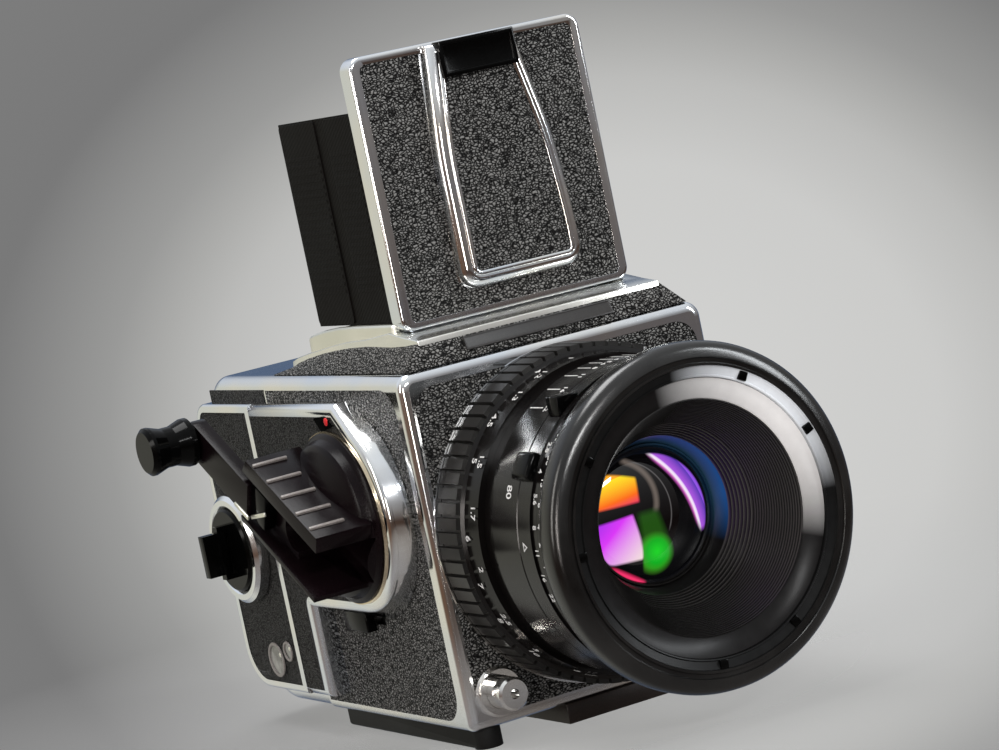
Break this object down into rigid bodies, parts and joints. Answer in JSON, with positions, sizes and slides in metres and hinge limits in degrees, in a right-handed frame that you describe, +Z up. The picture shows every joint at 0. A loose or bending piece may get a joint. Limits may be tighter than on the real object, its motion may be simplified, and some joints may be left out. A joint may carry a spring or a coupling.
{
  "type": "medium_format_camera",
  "caption": "Box-shaped film camera with raised waist-level hood, large front lens, rear film magazine and side winding crank",
  "frame": {"origin": "The centre of the small tripod socket's mouth, in the plane the camera stands on.", "axes": "+X to the viewer's right when the lens faces the viewer, +Y from the lens towards the film magazine, +Z up."},
  "size_m": [0.1285, 0.176, 0.1693],
  "materials": {
    "chrome": "polished",
    "black_leather": "matte",
    "black_metal": "satin",
    "brown_black_metal": "satin",
    "steel": "satin",
    "brass": "satin",
    "black_rubber": "matte",
    "black_plastic": "gloss",
    "glass": "clear",
    "mirror": "polished"
  },
  "bodies": {
    "camera": {"body_shell": "chrome", "body_leather": "black_leather", "side_casing": "chrome", "casing_leather": "black_leather", "mirror_box": "black_metal", "focusing_screen": "glass", "rear_frame": "black_metal", "base_plate": "brown_black_metal", "foot_rails": "black_rubber", "accessory_rail": "chrome", "release_collar": "chrome", "crank_rim": "brass", "magazine_shell": "chrome", "magazine_leather": "black_leather", "top_cover": "black_leather", "finder_base": "chrome", "hood_side_leaves": "black_metal", "hood_back_leaf": "black_metal", "lens_flange": "chrome", "lens_barrel": "black_metal", "front_ring": "brown_black_metal", "lens_cone": "brown_black_metal", "front_glass": "glass", "rear_glass": "glass", "iris_blades": "steel"},
    "focusing": {"focus_grip": "black_rubber", "distance_ring": "black_metal"},
    "aperture": {"aperture_ring": "black_metal"},
    "speed": {"speed_ring": "black_metal"},
    "preview": {"preview_tab": "steel"},
    "release": {"release_button": "chrome"},
    "lens_lock": {"lens_lock_button": "chrome"},
    "prerelease": {"prerelease_slider": "black_metal"},
    "mirror": {"mirror_frame": "black_metal", "mirror_glass": "mirror"},
    "upper_shutter_flap": {"upper_flap": "black_metal"},
    "lower_shutter_flap": {"lower_flap": "black_metal"},
    "crank": {"crank_hub": "brown_black_metal", "crank_gear": "steel"},
    "arm": {"crank_arm": "brown_black_metal"},
    "knob": {"crank_knob": "black_plastic"},
    "idler": {"idler_gear": "brass"},
    "output": {"output_gear": "steel"},
    "magazine_wheel": {"magazine_gear": "steel"},
    "insert": {"film_insert": "black_metal", "insert_leather": "black_leather", "counter_windows": "glass", "key_ring": "chrome"},
    "key": {"film_key": "black_metal"},
    "wing": {"key_wing": "black_plastic"},
    "take_up": {"take_up_spool": "black_metal"},
    "feed": {"feed_spool": "black_metal"},
    "slide": {"dark_slide": "steel"},
    "latch": {"magazine_release": "black_metal"},
    "hood": {"hood_lid": "chrome", "lid_leather": "black_leather"},
    "catch": {"lid_catch": "black_plastic"},
    "magnifier": {"magnifier_arm": "black_metal", "magnifier_lens": "glass"}
  },
  "joints": [
    {"name": "focusing_turn", "type": "hinge", "parent": "camera", "child": "focusing", "pos_m": [0, -0.045, 0.0498], "axis": [0, -1, 0], "range_deg": [-60, 210]},
    {"name": "aperture_turn", "type": "hinge", "parent": "camera", "child": "aperture", "pos_m": [0, -0.0785, 0.0498], "axis": [0, -1, 0], "range_deg": [-33, 33]},
    {"name": "speed_turn", "type": "hinge", "parent": "camera", "child": "speed", "pos_m": [0, -0.0808, 0.0498], "axis": [0, -1, 0], "range_deg": [-50, 60]},
    {"name": "preview_turn", "type": "hinge", "parent": "camera", "child": "preview", "pos_m": [0, -0.074, 0.0498], "axis": [0, -1, 0], "range_deg": [0, 12]},
    {"name": "release_press", "type": "slide", "parent": "camera", "child": "release", "axis": [0, 1, 0], "range_m": [0, 0.0025], "stiffness_N_per_m": 600, "springref_m": -0.002},
    {"name": "lens_lock_press", "type": "slide", "parent": "camera", "child": "lens_lock", "axis": [0, 1, 0], "range_m": [0, 0.002], "stiffness_N_per_m": 600, "springref_m": -0.002},
    {"name": "prerelease_slide", "type": "slide", "parent": "camera", "child": "prerelease", "axis": [0, -1, 0], "range_m": [0, 0.003], "stiffness_N_per_m": 400, "springref_m": -0.001},
    {"name": "mirror_rise", "type": "hinge", "parent": "camera", "child": "mirror", "pos_m": [0, 0.0365, 0.083], "axis": [-1, 0, 0], "range_deg": [0, 45]},
    {"name": "upper_flap_open", "type": "hinge", "parent": "camera", "child": "upper_shutter_flap", "pos_m": [0, 0.0396, 0.0791], "axis": [-1, 0, 0], "range_deg": [0, 90]},
    {"name": "lower_flap_open", "type": "hinge", "parent": "camera", "child": "lower_shutter_flap", "pos_m": [0, 0.0396, 0.0205], "axis": [1, 0, 0], "range_deg": [0, 90]},
    {"name": "crank_turn", "type": "hinge", "parent": "camera", "child": "crank", "pos_m": [-0.0486, -0.0014, 0.0592], "axis": [1, 0, 0], "continuous": true},
    {"name": "arm_fold", "type": "hinge", "parent": "crank", "child": "arm", "pos_m": [-0.0651, 0.01505, 0.0687], "axis": [0, -0.5, 0.866], "range_deg": [0, 180]},
    {"name": "knob_spin", "type": "hinge", "parent": "arm", "child": "knob", "pos_m": [-0.0671, 0.0393, 0.0827], "axis": [-1, 0, 0], "continuous": true},
    {"name": "idler_turn", "type": "hinge", "parent": "camera", "child": "idler", "pos_m": [-0.0385, 0.0229, 0.03184], "axis": [1, 0, 0], "continuous": true},
    {"name": "output_turn", "type": "hinge", "parent": "camera", "child": "output", "pos_m": [-0.0385, 0.03875, 0.014], "axis": [1, 0, 0], "continuous": true},
    {"name": "magazine_gear_turn", "type": "hinge", "parent": "camera", "child": "magazine_wheel", "pos_m": [-0.0385, 0.0483, 0.014], "axis": [1, 0, 0], "continuous": true},
    {"name": "insert_out", "type": "slide", "parent": "camera", "child": "insert", "axis": [-1, 0, 0], "range_m": [0, 0.088]},
    {"name": "key_turn", "type": "hinge", "parent": "insert", "child": "key", "pos_m": [-0.051, 0.0652, 0.0491], "axis": [-1, 0, 0], "range_deg": [0, 90]},
    {"name": "wing_fold", "type": "hinge", "parent": "key", "child": "wing", "pos_m": [-0.0546, 0.0652, 0.0491], "axis": [0, 0, 1], "range_deg": [0, 90]},
    {"name": "take_up_spin", "type": "hinge", "parent": "insert", "child": "take_up", "pos_m": [0, 0.062, 0.068], "axis": [1, 0, 0], "continuous": true},
    {"name": "feed_spin", "type": "hinge", "parent": "insert", "child": "feed", "pos_m": [0, 0.062, 0.034], "axis": [1, 0, 0], "continuous": true},
    {"name": "dark_slide_out", "type": "slide", "parent": "camera", "child": "slide", "axis": [1, 0, 0], "range_m": [0, 0.075]},
    {"name": "magazine_release_slide", "type": "slide", "parent": "camera", "child": "latch", "axis": [1, 0, 0], "range_m": [0, 0.003], "stiffness_N_per_m": 400, "springref_m": -0.001},
    {"name": "hood_close", "type": "hinge", "parent": "camera", "child": "hood", "pos_m": [0, -0.0174, 0.1045], "axis": [-1, 0, 0], "range_deg": [0, 90], "deforming": ["hood_side_leaves", "hood_back_leaf"]},
    {"name": "catch_slide", "type": "slide", "parent": "hood", "child": "catch", "axis": [1, 0, 0], "range_m": [0, 0.002], "stiffness_N_per_m": 300, "springref_m": -0.001},
    {"name": "magnifier_swing", "type": "hinge", "parent": "hood", "child": "magnifier", "pos_m": [0, -0.0188, 0.1076], "axis": [1, 0, 0], "range_deg": [-90, 0]}
  ],
  "couplings": [
    {"joint": "idler_turn", "follows": "crank_turn", "ratio": -0.91667},
    {"joint": "output_turn", "follows": "crank_turn", "ratio": 3.6667},
    {"joint": "magazine_gear_turn", "follows": "crank_turn", "ratio": -3.6667},
    {"joint": "take_up_spin", "follows": "crank_turn", "ratio": 1},
    {"joint": "feed_spin", "follows": "crank_turn", "ratio": 0.8},
    {"joint": "upper_flap_open", "follows": "mirror_rise", "ratio": 2},
    {"joint": "lower_flap_open", "follows": "mirror_rise", "ratio": 2}
  ]
}
